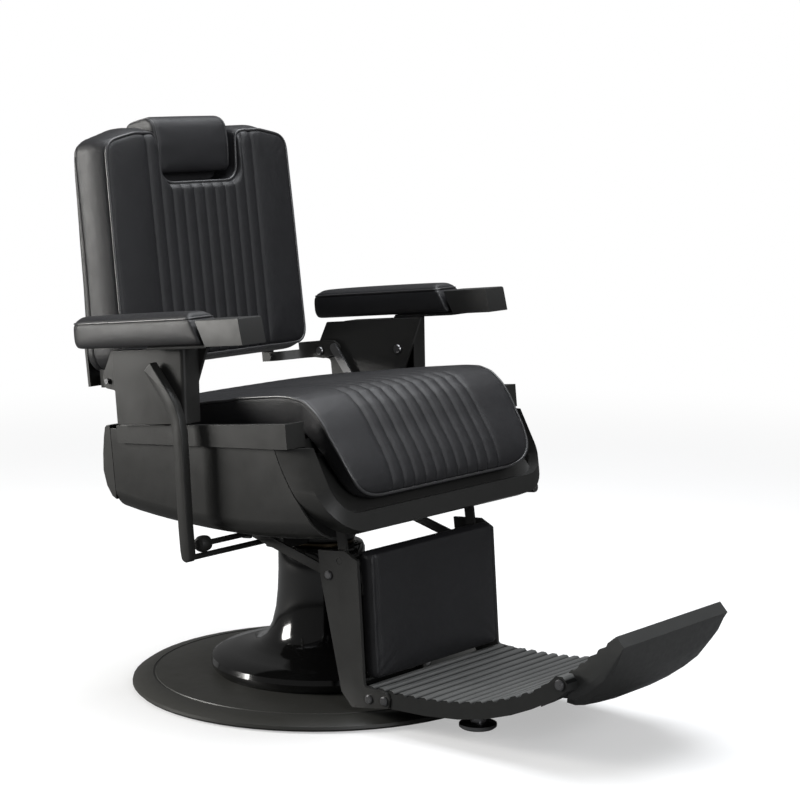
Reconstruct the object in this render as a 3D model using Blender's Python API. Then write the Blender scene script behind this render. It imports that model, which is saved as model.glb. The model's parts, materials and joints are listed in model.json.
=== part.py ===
"""Hydraulic barber chair, modelled as an assembly of separate pieces.

World frame: metres, +Z up, origin on the floor at the centre of the base.  The chair faces
-Y, and the sitter's right hand, with the pump lever, is on -X.  The dimensions below are in
millimetres and every mesh is scaled to metres once, when its object is made.

The seat unit is drawn in its own frame (x, v, w), tipped back by SEAT_TILT about the rail's
top edge: v runs rearwards along the rail and w stands square to it.  The back unit is drawn in
(x, n, u) about the recline pivot: n is the distance behind the front face, u runs up it.
"""
import bpy
import bmesh
from math import atan2, cos, pi, radians, sin
from mathutils import Matrix, Vector

MM = 0.001
GAP = 0.3              # clearance between touching pieces
PIN_GAP = 0.3          # radial clearance round a pin

# Base and lift
BASE_TOP = 25.0
SKIRT_R = 206.0
COLUMN_R = 80.0
COLUMN_TOP = 262.0
RAM_R = 38.0
RAM_FOOT = 42.0
RAM_TOP = 330.0
HUB_TOP = 440.0

# Seat unit
SEAT_ORIGIN = (0.0, 0.0, 514.0)
SEAT_TILT = 6.1
RAIL_X = 316.0         # outer face of the side rails
SHELL_X = 307.0
SHELL_WALL = 4.5
CUSHION_HALF = 262.0
ARM_PLATE_X = (285.0, 290.0)
BRACKET_X = (276.0, 282.0)
DRAG_LINK_X = (270.6, 275.4)
ARM_COVER_X = (290.3, 328.0)
ARM_PAD_BOTTOM = 140.4

# Back unit, about the recline pivot
RECLINE_PIVOT = (0.0, 250.0, 565.0)
BACK_TILT = 6.9
BACK_HALF = 256.0      # half width at the bottom
BACK_NARROWING = 6.0   # how much less it is at the top
BACK_BOTTOM = 11.0
BACK_TOP = 455.0
BACK_DEPTH = (97.0, 75.0)      # front to rear at the bottom and at the top
NOTCH_HALF = 105.0
NOTCH_BOTTOM = 354.0
NOTCH_R = 28.0

# Leg rest linkage, in world (y, z)
LEG_PIVOT = (-212.0, 285.0)
LINK_ARM = (24.0, -28.0)       # leg-rest pivot to link pin; the rocker's lower arm is its equal
LINK_RUN = (296.0, 77.0)       # link pin to rocker pin
CRANK_LENGTH = 40.0            # the back's crank and the rocker's outer arm
CRANK_ANGLE = 165.7            # degrees from +Y, upright recline
GAS_ARM_LENGTH = 36.0
GAS_ARM_ANGLE = 115.0
GAS_X = 100.0
LEG_PLATE_X = (184.0, 190.0)
LINK_X = (178.8, 183.6)
LUG_X = (173.8, 178.3)

# Foot plate and flap
FOOT_REAR, FOOT_FRONT = -262.0, -655.0
FOOT_HALF = 187.0
FOOT_RIB_PITCH = 23.6
FOOT_RIB_HEIGHT = 4.0
FLAP_HINGE = (-677.0, 150.0)
FLAP_HALF = 153.0

# Pump lever and recline handle
LEVER_X = (-351.5, -334.5)
LEVER_HALF = 11.0
LEVER_SHAFT = (-3.0, 286.0)
HANDLE_AXIS = (-6.0, 307.0)

SIDES = (("R", -1.0), ("L", 1.0))      # the sitter's right is -X


# ---------------------------------------------------------------- plane geometry

def plus(a, b):
    return (a[0] + b[0], a[1] + b[1])


def polar(radius, degrees):
    return (radius * cos(radians(degrees)), radius * sin(radians(degrees)))


def seat_local(y, z):
    """World (y, z) to the seat unit's (v, w)."""
    a = radians(SEAT_TILT)
    dz = z - SEAT_ORIGIN[2]
    return (y * cos(a) - dz * sin(a), y * sin(a) + dz * cos(a))


def back_local(y, z):
    """World offset (y, z) from the recline pivot to the back unit's (n, u)."""
    a = radians(BACK_TILT)
    return (y * cos(a) - z * sin(a), y * sin(a) + z * cos(a))


def rounded(corners, steps=4):
    """Outline with filleted corners from (a, b, radius) or sharp (a, b) corners."""
    out = []
    count = len(corners)
    for i, corner in enumerate(corners):
        here = Vector(corner[:2])
        radius = corner[2] if len(corner) > 2 else 0.0
        if radius <= 0.0:
            out.append(tuple(here))
            continue
        before = (Vector(corners[i - 1][:2]) - here).normalized()
        after = (Vector(corners[(i + 1) % count][:2]) - here).normalized()
        half = before.angle(after) / 2.0
        centre = here + (before + after).normalized() * (radius / sin(half))
        start = here + before * (radius * cos(half) / sin(half))
        end = here + after * (radius * cos(half) / sin(half))
        first = atan2(start.y - centre.y, start.x - centre.x)
        sweep = atan2(end.y - centre.y, end.x - centre.x) - first
        sweep = (sweep + pi) % (2.0 * pi) - pi
        for k in range(steps + 1):
            angle = first + sweep * k / steps
            out.append((centre.x + radius * cos(angle), centre.y + radius * sin(angle)))
    return out


def circle(centre, radius, steps=20):
    return [plus(centre, polar(radius, 360.0 * k / steps)) for k in range(steps)]


def bar(start, end, radius, steps=6):
    """Outline of a flat link with round ends."""
    run = atan2(end[1] - start[1], end[0] - start[0]) * 180.0 / pi
    turns = [180.0 * k / steps for k in range(steps + 1)]
    return ([plus(end, polar(radius, run - 90.0 + t)) for t in turns]
            + [plus(start, polar(radius, run + 90.0 + t)) for t in turns])


def ribbon(path, half):
    """Outline of a bar of constant thickness that follows a path, by mitred offsets."""
    left, right = [], []
    for i, point in enumerate(path):
        here = Vector(point)
        a = (here - Vector(path[i - 1])).normalized() if i else None
        b = (Vector(path[i + 1]) - here).normalized() if i + 1 < len(path) else None
        a, b = a or b, b or a
        mean = (a + b).normalized()
        reach = half / max(0.3, mean.dot(a))
        side = Vector((-mean.y, mean.x)) * reach
        left.append(tuple(here + side))
        right.append(tuple(here - side))
    return left + right[::-1]


# ---------------------------------------------------------------- solids, in millimetres

def loft(rings, folded=False):
    """Solid from rings of equal point counts, capped at both ends.  A folded ring goes out
    along one skin and back along the other, so its caps are strips of quads."""
    bm = bmesh.new()
    rows = [[bm.verts.new(p) for p in ring] for ring in rings]
    count = len(rows[0])
    for low, high in zip(rows, rows[1:]):
        for k in range(count):
            m = (k + 1) % count
            bm.faces.new((low[k], low[m], high[m], high[k]))
    for row in (rows[0], rows[-1][::-1]):
        if not folded:
            bm.faces.new(row)
            continue
        for k in range(count // 2 - 1):
            bm.faces.new((row[k], row[k + 1], row[-2 - k], row[-1 - k]))
    bmesh.ops.recalc_face_normals(bm, faces=bm.faces)
    return bm


def prism_x(outline, x0, x1):
    return loft([[(x, p[0], p[1]) for p in outline] for x in (x0, x1)])


def prism_y(outline, y0, y1):
    return loft([[(p[0], y, p[1]) for p in outline] for y in (y0, y1)])


def prism_z(outline, z0, z1):
    return loft([[(p[0], p[1], z) for p in outline] for z in (z0, z1)])


def box(x0, x1, y0, y1, z0, z1):
    return prism_z([(x0, y0), (x1, y0), (x1, y1), (x0, y1)], z0, z1)


def turned(profile, steps=48):
    """Solid of revolution about Z; a profile point at radius 0 is one vertex."""
    bm = bmesh.new()
    rows = []
    for r, z in profile:
        if r == 0.0:
            rows.append([bm.verts.new((0.0, 0.0, z))] * steps)
        else:
            rows.append([bm.verts.new((*polar(r, 360.0 * k / steps), z)) for k in range(steps)])
    for low, high in zip(rows, rows[1:] + rows[:1]):
        for k in range(steps):
            m = (k + 1) % steps
            ring = [low[k], low[m], high[m], high[k]]
            unique = [v for i, v in enumerate(ring) if v not in ring[:i]]
            if len(unique) > 2:
                bm.faces.new(unique)
    bmesh.ops.recalc_face_normals(bm, faces=bm.faces)
    return bm


def turned_x(profile, y, z, steps=20):
    """Solid of revolution about an X line through (y, z); profile points are (radius, x)."""
    bm = turned(profile, steps)
    bmesh.ops.transform(bm, matrix=Matrix.Rotation(pi / 2.0, 4, "Y"), verts=bm.verts)
    bmesh.ops.translate(bm, vec=(0.0, y, z), verts=bm.verts)
    return bm


def rod_x(y, z, radius, x0, x1, steps=16):
    return turned_x([(0.0, x0), (radius, x0), (radius, x1), (0.0, x1)], y, z, steps)


def rod_y(x, z, radius, y0, y1, steps=16):
    return prism_y(circle((x, z), radius, steps), y0, y1)


def both_x(span, side):
    """The x span of a piece on one side, in rising order."""
    return tuple(sorted((span[0] * side, span[1] * side)))


def edge_bevel(bm, width, segments, chosen):
    edges = [e for e in bm.edges if chosen(e)]
    bmesh.ops.bevel(bm, geom=edges, offset=width, segments=segments, profile=0.5,
                    affect="EDGES", clamp_overlap=True)
    return bm


# ---------------------------------------------------------------- objects

def material(name, colour, roughness, metallic=0.0):
    mat = bpy.data.materials.new(name)
    mat.use_nodes = True
    shader = mat.node_tree.nodes["Principled BSDF"]
    shader.inputs["Base Color"].default_value = (*colour, 1.0)
    shader.inputs["Roughness"].default_value = roughness
    shader.inputs["Metallic"].default_value = metallic
    return mat


def frame(name, origin=(0.0, 0.0, 0.0), tilt=0.0, draw=None):
    """An empty on a joint's axis.  draw is the point that the drawing of its pieces is from:
    the origin itself for tilted units, the floor origin for pieces drawn in world values."""
    empty = bpy.data.objects.new(name, None)
    bpy.context.collection.objects.link(empty)
    empty.location = Vector(origin) * MM
    empty.rotation_euler = (radians(-tilt), 0.0, 0.0)
    shift = Vector((0.0, 0.0, 0.0)) if draw == "local" else -Vector(origin)
    return empty, shift


def raw_object(name, bm):
    mesh = bpy.data.meshes.new(name)
    bmesh.ops.scale(bm, vec=(MM, MM, MM), verts=bm.verts)
    bm.to_mesh(mesh)
    bm.free()
    obj = bpy.data.objects.new(name, mesh)
    bpy.context.collection.objects.link(obj)
    return obj


def combine(obj, bm, operation):
    tool = raw_object(obj.name + "_tool", bm)
    step = obj.modifiers.new(operation.lower(), "BOOLEAN")
    step.operation = operation
    step.object = tool
    bpy.context.view_layer.update()
    result = bpy.data.meshes.new_from_object(obj.evaluated_get(
        bpy.context.evaluated_depsgraph_get()))
    obj.modifiers.clear()
    old = obj.data
    obj.data = result
    bpy.data.meshes.remove(old)
    bpy.data.objects.remove(tool)


def piece(name, mat, unit, solids, cuts=(), sharp=35.0):
    """One sub-part: the union of its solids less its cuts, parented to its unit's empty."""
    empty, shift = unit
    for bm in (*solids, *cuts):
        bmesh.ops.translate(bm, vec=shift, verts=bm.verts)
    obj = raw_object(name, solids[0])
    for bm in solids[1:]:
        combine(obj, bm, "UNION")
    for bm in cuts:
        combine(obj, bm, "DIFFERENCE")
    obj.data.name = name
    obj.data.materials.clear()
    obj.data.materials.append(mat)
    obj.data.shade_smooth()
    obj.data.set_sharp_from_angle(angle=radians(sharp))
    obj.parent = empty
    return obj


# ---------------------------------------------------------------- base and lift

def build_base(mats, unit):
    piece("base_plate", mats["satin_paint"], unit, [turned([
        (0, 0), (70, 0), (74, 17), (300, 17), (304, 2), (317.7, 2), (317.7, 6.3), (338.3, 6.3), (338.3, 2),
        (346, 2), (350, 6), (349, 11), (337, 19), (318, 22.5), (312, 23), (311, 21.5),
        (308, 21.5), (307, 23), (SKIRT_R, BASE_TOP), (0, BASE_TOP)], 64)])
    piece("base_foot_ring", mats["rubber"], unit, [turned([
        (318, 0), (338, 0), (338, 6), (318, 6)], 64)])
    piece("pump_column", mats["gloss_paint"], unit, [turned([
        (197, BASE_TOP + GAP), (203, 32), (SKIRT_R, 42), (203, 51), (193, 57), (165, 62),
        (135, 67), (115, 75), (102, 88), (92, 108), (85, 138), (81.5, 172),
        (COLUMN_R, 210), (COLUMN_R, 250), (76, 259), (66, COLUMN_TOP), (54, COLUMN_TOP),
        (54, 236), (68, 232), (75, 222), (76, 175), (80, 138), (87, 108), (97, 85),
        (112, 70), (134, 62), (165, 57), (192, 52), (200, 42), (192, BASE_TOP + GAP)])])
    floor = BASE_TOP + GAP
    piece("pump_cylinder", mats["cast_metal"], unit, [turned([
        (0, floor), (90, floor), (90, 33), (49, 35), (49, 226), (40, 228),
        (RAM_R + PIN_GAP, 228), (RAM_R + PIN_GAP, 38), (0, 38)], 32)])
    piece("column_bush", mats["bronze"], unit, [turned([
        (RAM_R + PIN_GAP, 238), (53.7, 238), (53.7, COLUMN_TOP + GAP),
        (60, COLUMN_TOP + GAP), (60, 266), (58, 267), (RAM_R + PIN_GAP, 267)], 32)])


def build_ram(mats, unit):
    piece("lift_ram", mats["chrome"], unit, [turned([
        (30, RAM_FOOT), (RAM_R, RAM_FOOT), (RAM_R, RAM_TOP), (0, RAM_TOP), (0, 315),
        (30, 310)], 32)])


# ---------------------------------------------------------------- seat unit

def leg_rest_points():
    """The linkage's pivots in world (y, z)."""
    link_pin = plus(LEG_PIVOT, LINK_ARM)
    rocker_axis = plus(LEG_PIVOT, LINK_RUN)
    crank = polar(CRANK_LENGTH, CRANK_ANGLE)
    return {
        "link_pin": link_pin,
        "rocker_pin": plus(link_pin, LINK_RUN),
        "rocker_axis": rocker_axis,
        "rocker_crank": plus(rocker_axis, crank),
        "back_crank": plus(RECLINE_PIVOT[1:], crank),
        "gas_pin": plus(rocker_axis, polar(GAS_ARM_LENGTH, GAS_ARM_ANGLE)),
    }


def build_hub(mats, unit):
    bore = RAM_R + 0.4
    piece("swivel_hub", mats["cast_metal"], unit, [turned([
        (bore, 270), (62, 270), (64, 274), (64, 328), (44, 344), (44, 424), (92, 430),
        (92, HUB_TOP), (0, HUB_TOP), (0, RAM_TOP + 2.5), (bore, RAM_TOP + 2.5)], 32)])
    head = box(-128, -64.4, -24, 20, 268, 306)
    bore_x = rod_x(*LEVER_SHAFT, 5.3, -140, -90)
    edge_bevel(head, 4, 2, lambda e: abs(e.verts[0].co.x - e.verts[1].co.x) > 1)
    piece("pump_head", mats["cast_metal"], unit, [head], [bore_x])


def build_seat_frame(mats, unit, points):
    top, bottom = -32.3, -62.0
    pivot = seat_local(*LEG_PIVOT)
    rocker = seat_local(*points["rocker_axis"])
    solids = [box(-255, -237, -190, 220, bottom, top), box(237, 255, -190, 220, bottom, top)]
    for v0, v1 in ((-190, -166), (-110, -86), (86, 110), (200, 220)):
        solids.append(box(-240, 240, v0, v1, bottom + 6, top - 6))
    solids.append(box(-98, 98, -105, 105, bottom + 2, bottom + 9))
    lug = rounded([(-168, -50), (-189, -50), (pivot[0] - 10, pivot[1] - 10, 8),
                   (pivot[0] + 10, pivot[1] - 10, 8)])
    bearing = rounded([(115, -50), (84, -50), (rocker[0] - 13, rocker[1] - 13, 11),
                       (rocker[0] + 13, rocker[1] - 13, 11)])
    for _, side in SIDES:
        solids.append(prism_x(lug, *both_x(LUG_X, side)))
        solids.append(prism_x(bearing, *both_x((140, 146), side)))
        solids.append(box(*both_x((250, 284.7), side), 140, 205, bottom + 3, bottom + 11))
    solids.append(box(-240, -196, 2, 32, bottom + 4, bottom + 14))
    handle = seat_local(*HANDLE_AXIS)
    solids.append(prism_x([(handle[0] - 9, handle[1] - 8), (handle[0] + 9, handle[1] - 8),
                           (handle[0] + 12, bottom + 8), (handle[0] - 12, bottom + 8)],
                          -206, -200))
    solids.append(box(GAS_X - 8, GAS_X + 8, 209, 217, -104, bottom + 6))
    # The hub pad: a wedge whose lower face is level while the frame is tilted.
    (v0, w0), (v1, w1) = (seat_local(y, HUB_TOP + GAP) for y in (-70.0, 70.0))
    solids.append(prism_x([(v0, w0), (v1, w1), (v1, bottom + 4), (v0, bottom + 4)], -70, 70))
    cuts = [rod_x(*pivot, 6.3, -200, 200), rod_x(*rocker, 8.3, -160, 160)]
    piece("seat_frame", mats["satin_paint"], unit, solids, cuts)


def build_cushion(mats, unit):
    """Waterfall seat cushion: top from the rear, over the front and down the face."""
    stations = [  # (v, w) on the outer skin, (v, w) on the inner skin, half width
        ((226, 24), (226, -20), 258), ((216, 35), (200, -20), CUSHION_HALF),
        ((60, 44), (60, -20), CUSHION_HALF), ((-80, 46), (-80, -20), CUSHION_HALF),
        ((-160, 45), (-150, -20), CUSHION_HALF), ((-196, 36), (-180, -20), CUSHION_HALF),
        ((-220, 14), (-195, -28), 260), ((-238, -18), (-206, -42), 257),
        ((-258, -55), (-222, -72), 254), ((-276, -90), (-240, -106), 250),
        ((-287, -118), (-256, -134), 240), ((-286, -136), (-268, -144), 222),
        ((-280, -148), (-274, -149), 196)]
    rings = []
    for outer, inner, half in stations:
        a, b = Vector(outer), Vector(inner)
        crown = a.lerp(b, 0.28)
        rings.append([(-half, *b), (-half, *crown), (-half + 18, *a), (half - 18, *a),
                      (half, *crown), (half, *b)])
    piece("seat_cushion", mats["leather"], unit, [loft(rings)], sharp=60)
    piece("seat_board", mats["plywood"], unit, [box(-250, 250, -178, 222, -32, -20.4)])


def crease(w):
    """Rearward edge of the front band, and front edge of the side shells, at height w."""
    return -160.0 + 0.16 * (w + 10.0) - 0.0021 * (w + 10.0) ** 2


def side_shell_solid(side):
    """Side of the tub: a wall that rolls under at the bottom."""
    def bottom_at(v):
        return -150.0 - 48.0 * sin(pi / 2.0 * min(1.0, (232.0 - v) / 330.0)) ** 0.9

    rear, roll = 231.6, 34.0
    columns = []
    for i in range(13):
        t = i / 12.0
        low = bottom_at(rear - t * 400.0)
        outer = [(SHELL_X, w) for w in (-6.0, -43.0, -63.0, -83.0, -103.0, -122.0)]
        outer.append((SHELL_X, low + roll))
        for k in range(1, 8):
            angle = pi / 2.0 * k / 7.0
            outer.append((SHELL_X - roll * (1 - cos(angle)), low + roll * (1 - sin(angle))))
        inner = []
        for x, w in reversed(outer):
            away = Vector((x - (SHELL_X - roll), w - (low + roll))) if w < low + roll else \
                Vector((1.0, 0.0))
            away.normalize()
            inner.append((x - away.x * SHELL_WALL, w - away.y * SHELL_WALL))
        ring = []
        for x, w in outer + inner:
            v = rear + t * (crease(w) - rear)
            ring.append((x * side, v, w))
        columns.append(ring)
    return loft(columns, folded=True)


def front_bezel_solid():
    """U-shaped band round the cushion's front face, sloped like the face."""
    top, steps = -43.0, 12
    inner_x, inner_low, inner_r = 285.0, -158.0, 52.0
    outer_x, outer_low, outer_r = SHELL_X, -196.0, 84.0

    def arm(x, low, r):
        drop = low + r - top
        path = [(x, top + drop * k / 4.0) for k in range(4)]
        for k in range(steps + 1):
            angle = pi / 2.0 * k / steps
            path.append((x - r * (1 - cos(angle)), low + r * (1 - sin(angle))))
        path.append((60.0, low))
        return path

    def face_inner(w):
        return -219.0 + 0.42 * w

    def face_outer(w):
        return -181.0 + 0.54 * w

    rings = []
    half = []
    for (xi, wi), (xo, wo) in zip(arm(inner_x, inner_low, inner_r),
                                  arm(outer_x, outer_low, outer_r)):
        toward = (Vector((xi, wi)) - Vector((xo, wo))).normalized() * 7.0
        rim = max(-262.0, crease(wo)) - 1.5
        half.append([(xi, face_inner(wi), wi),
                     (xo + toward.x, face_outer(wo), wo + toward.y),
                     (xo, rim, wo),
                     (xo + toward.x * 0.7, rim, wo + toward.y * 0.7),
                     (xi, face_inner(wi) + 22.0, wi)])
    for ring in half:
        rings.append([(x, v, w) for x, v, w in ring])
    for ring in reversed(half):
        rings.append([(-x, v, w) for x, v, w in ring])
    return loft(rings)


def build_shells(mats, unit):
    for tag, side in SIDES:
        piece("side_shell_" + tag, mats["shell"], unit, [side_shell_solid(side)], sharp=40)
        rail = [(205, 0), (205, -31), (-190, -42), (-200, -42), (-200, 0)]
        wall = prism_x(rail, *both_x((RAIL_X - 4, RAIL_X), side))
        lip = box(*both_x((302, RAIL_X - 1), side), -199, 204, -4, 0)
        wrap = loft([[(x * side, v, w) for v, w in
                      ((-206, -42), (-206, 0), (-200, 0), (-200, -42))]
                     for x in (270, RAIL_X)])
        piece("side_rail_" + tag, mats["satin_paint"], unit, [wall, lip, wrap])
    curve = [(232, 0), (241, 0), (246, -4), (251, -21), (257, -51), (260, -81), (254, -109),
             (242, -128), (232, -134)]
    hollow = [(225, -5), (238, -5), (242, -10), (247, -24), (253, -52), (256, -80),
              (250, -107), (240, -122), (225, -128)]
    outer = prism_x(curve, -SHELL_X, SHELL_X)
    inner = prism_x(hollow, -SHELL_X + 5, SHELL_X - 5)
    piece("rear_shell", mats["shell"], unit, [outer], [inner])
    apron = prism_x([(-272, -160), (-268, -164), (-198, -67), (-201, -64)], -265, 265)
    piece("front_bezel", mats["satin_paint"], unit, [front_bezel_solid(), apron], sharp=30)


def arm_pad_solid(side):
    """Arm cushion: straight inner side, large rear outer corner, crowned top."""
    rings = []
    for w, inset, front in ((ARM_PAD_BOTTOM, 5, -70), (150, 0, -66), (178, 0, -52),
                            (190, 4, -46), (197, 13, -38)):
        outline = rounded([(297 + inset, front), (364 - inset, front),
                           (364 - inset, 266 - inset, 54), (297 + inset, 281 - inset, 10)])
        rings.append([(x * side, v, w) for x, v in outline])
    return loft(rings)


def build_arms(mats, unit):
    pivot = seat_local(*RECLINE_PIVOT[1:])
    front_bolt = (49.0, 75.0)
    for tag, side in SIDES:
        plate = rounded([(-14, 133.5), (228, 133.5, 3), (258, 86, 14), (255, 65, 10), (226, 60, 8),
                         (224, -60, 6), (60, -60, 6), (40, 30)])
        piece("arm_plate_" + tag, mats["satin_paint"], unit,
              [prism_x(plate, *both_x(ARM_PLATE_X, side))],
              [rod_x(*pivot, 5.3, *both_x((280, 295), side)),
               rod_x(*front_bolt, 4.3, *both_x((280, 295), side))])
        cover = prism_x([(18, 3), (7, 134), (186, 134), (188, 3)], *both_x(ARM_COVER_X, side))
        edge_bevel(cover, 8, 3, lambda e: all(v.co.y < 30 and abs(v.co.x) > 320
                                              for v in e.verts))
        hollow = prism_x([(21.4, -8), (10.4, 130.6), (200, 130.6), (200, -8)],
                         *both_x((280, ARM_COVER_X[1] - 3.4), side))
        piece("arm_cover_" + tag, mats["satin_paint"], unit, [cover], [hollow])
        piece("arm_pad_" + tag, mats["leather"], unit, [arm_pad_solid(side)], sharp=50)
        block = prism_x([(-167, 137), (-161, 182), (-60, 182), (-80, 137)],
                        *both_x((303, 360), side))
        edge_bevel(block, 3, 2, lambda e: all(v.co.z > 150 for v in e.verts))
        tongue = box(*both_x((309, 350), side), -90, 70, 137.2, 140.1)
        base = box(*both_x((306, 354), side), -75, 70, 134.4, 137.3)
        piece("arm_block_" + tag, mats["satin_plastic"], unit, [block, tongue, base])
        head = [(0, 271.5), (7.5, 271.5), (9, 273.5), (9, 275.6), (5, 275.6), (5, 296), (0, 296)]
        piece("recline_bolt_" + tag, mats["chrome"], unit,
              [turned_x([(r, x * side) for r, x in head], *pivot)])
        head = [(0, 281), (8, 281), (9.5, 283), (9.5, 284.7), (4, 284.7), (4, 296), (0, 296)]
        piece("arm_bolt_" + tag, mats["chrome"], unit,
              [turned_x([(r, x * side) for r, x in head], *front_bolt)])


def build_recline_cylinder(mats, unit, points):
    z = points["gas_pin"][1] + 1.7
    body = rod_y(GAS_X, z, 13, 115, 195.8, 20)
    bore = rod_y(GAS_X, z, 5.3, 105, 190)
    piece("recline_cylinder", mats["satin_paint"], unit, [body], [bore])


def build_leg_pivot(mats, unit):
    piece("leg_rest_pivot_rod", mats["steel"], unit, [rod_x(*LEG_PIVOT, 6, -189.7, 189.7)])


# ---------------------------------------------------------------- lever and handle

def build_lever(mats, unit):
    path = [(86, 611), (43, 564), (30, 547), (20, 526), (14, 500), (4, 340), (0, 300)]
    heel = [plus((-2, 290), polar(LEVER_HALF, 358.0 - 30.0 * k)) for k in range(6)]
    shape = ribbon(path, LEVER_HALF)
    blade = prism_x(shape[:len(path)] + heel + shape[len(path):], *LEVER_X)
    edge_bevel(blade, 2.0, 2, lambda e: abs(e.verts[0].co.x - e.verts[1].co.x) < 0.01)
    piece("pump_lever", mats["satin_paint"], unit,
          [blade, rod_x(*LEVER_SHAFT, 5, -340, -94)])


def build_handle(mats, unit):
    y, z = HANDLE_AXIS
    profile = [(0, -207.5), (4, -207.5), (5, -209), (5, -298), (9, -298), (13, -302),
               (14.5, -309), (14.5, -317), (12, -323), (7, -326), (0, -326)]
    piece("recline_handle", mats["satin_plastic"], unit, [turned_x(profile, y, z)])


# ---------------------------------------------------------------- back unit

def back_outline(half, low, high, corner, notch=None):
    """Back seen from the front: narrower at the top, with sloped shoulders.  notch is the
    headrest recess's (half width, bottom)."""
    top = half - BACK_NARROWING
    right = [(half, low, corner), (top, high - 24.0, corner * 0.7), (165.0, high, 30.0)]
    if notch:
        right += [(notch[0], high, 14.0), (*notch, NOTCH_R)]
    return rounded([(-corner_[0], *corner_[1:]) for corner_ in right[:1]] + right
                   + [(-x, u, r) for x, u, r in reversed(right[1:])])


def back_depth(u):
    """How far behind the front face the rear surface is at height u."""
    low, high = BACK_DEPTH
    return low + (high - low) * (u - BACK_BOTTOM) / (BACK_TOP - BACK_BOTTOM)


def soft_panel(stations, half, low, high, corner, notch=None):
    """Panel whose edge is drawn in by an inset at each (n, inset) station.  A station n of 1
    or less is a share of the way from the first station to the rear surface."""
    rings = []
    start = stations[0][0]
    for n, inset in stations:
        recess = (notch[0] + inset, notch[1] - inset) if notch else None
        outline = back_outline(half - inset, low + inset, high - inset, corner - inset, recess)
        rings.append([(x, start + n * (back_depth(u) - start) if 0 < n <= 1 else n, u)
                      for x, u in outline])
    return loft(rings)


def build_back(mats, unit, points):
    crank = back_local(points["back_crank"][0] - RECLINE_PIVOT[1],
                       points["back_crank"][1] - RECLINE_PIVOT[2])
    for tag, side in SIDES:
        crank_plate = prism_x(rounded([
            (16, 20), (16, -12), (-8, -15, 8), (crank[0] - 4, crank[1] - 13, 8),
            (crank[0] - 13, crank[1] + 2, 8), (crank[0] + 4, crank[1] + 14, 8), (-8, 21, 8)]),
            *both_x(BRACKET_X, side))
        deep = [(279, 8), (279, 20), (274, 34), (263, 45)]
        shallow = [(274, 34), (260, 47), (240, 60), (226, 71), (221, 84), (221, 103)]
        strap = prism_z([(x * side, n) for x, n in ribbon(deep, 3)], -12, 20)
        toe = prism_z([(x * side, n) for x, n in ribbon(shallow, 3)], -12, 6)
        tab = box(*both_x((218, 246), side), 99, 105, -12, 76)
        head = rod_x(84, -3, 7, *both_x((213, 219), side))
        piece("back_bracket_" + tag, mats["satin_paint"], unit,
              [crank_plate, strap, toe, tab, head],
              [rod_x(0, 0, 5.3, *both_x((270, 290), side)),
               rod_x(*crank, 4.3, *both_x((270, 290), side))])
    cushion = soft_panel(((60, 0), (14, 0), (4, 4), (0, 11)), BACK_HALF, BACK_BOTTOM, BACK_TOP,
                         40.0, (NOTCH_HALF, NOTCH_BOTTOM))
    piece("back_cushion", mats["leather"], unit, [cushion], sharp=60)
    outline = back_outline(236, 32, 436, 30, (118, 340))
    piece("back_board", mats["plywood"], unit, [prism_y(outline, 60.4, 68.0)])
    panel = soft_panel(((68.4, 0), (0.6, 0), (0.85, 5), (1.0, 12)), BACK_HALF - 2, BACK_BOTTOM,
                       BACK_TOP - 4, 38.0)
    piece("back_panel", mats["leather"], unit, [panel], sharp=50)
    guide = prism_x([(back_depth(190) + 0.4, 190), (back_depth(330) + 0.4, 330), (108, 330),
                     (108, 190)], -27, 27)
    slot = box(-20.4, 20.4, 95.4, 102.6, 180, 340)
    piece("headrest_guide", mats["satin_paint"], unit, [guide], [slot])


def build_headrest(mats, unit):
    piece("headrest_post", mats["steel"], unit, [box(-20, 20, 95.8, 102.2, 200, 456)])
    profile = rounded([(21, 371, 12), (16, 425, 0), (23, 475, 26), (95.4, 467, 14),
                       (95.4, 425, 5), (79, 425, 4), (79, 457.5), (67.6, 457.5),
                       (67.6, 373, 5)])
    pad = prism_x(profile, -101, 101)
    edge_bevel(pad, 3.5, 2, lambda e: abs(e.verts[0].co.x - e.verts[1].co.x) < 0.01)
    piece("headrest_pad", mats["leather"], unit, [pad], sharp=50)


# ---------------------------------------------------------------- linkage

def build_drag_link(mats, unit, tag, side, points):
    start, end = points["back_crank"], points["rocker_crank"]
    link = prism_x(bar(start, end, 9), *both_x(DRAG_LINK_X, side))
    pins = [rod_x(*p, 4, *both_x((273, BRACKET_X[1] - 0.5), side)) for p in (start, end)]
    piece("drag_link_" + tag, mats["steel"], unit, [link, *pins])


def build_rocker(mats, unit, points):
    axis = points["rocker_axis"]
    solids = [rod_x(*axis, 8, -BRACKET_X[1], BRACKET_X[1], 20)]
    cuts = []
    for _, side in SIDES:
        solids.append(prism_x(bar(axis, points["rocker_crank"], 10), *both_x(BRACKET_X, side)))
        cuts.append(rod_x(*points["rocker_crank"], 5.0, *both_x((270, 290), side)))
        solids.append(prism_x(bar(axis, points["rocker_pin"], 10), *both_x(LUG_X, side)))
        cuts.append(rod_x(*points["rocker_pin"], 5.0, *both_x((172, 180), side)))
    solids.append(prism_x(bar(axis, points["gas_pin"], 9), 87, 92))
    solids.append(rod_x(*points["gas_pin"], 4, 91, 108))
    piece("recline_rocker", mats["steel"], unit, solids, cuts)


def build_gas_rod(mats, unit, points):
    y, z = points["gas_pin"][0], points["gas_pin"][1] + 1.7
    rod = rod_y(GAS_X, z, 5, y + 9, y + 88)
    eye = prism_x(circle((y, z), 13, 24), GAS_X - 6, GAS_X + 6)
    piece("recline_rod", mats["chrome"], unit, [eye, rod], [rod_x(y, z, 8.0, 80, 120, 20)])


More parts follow.
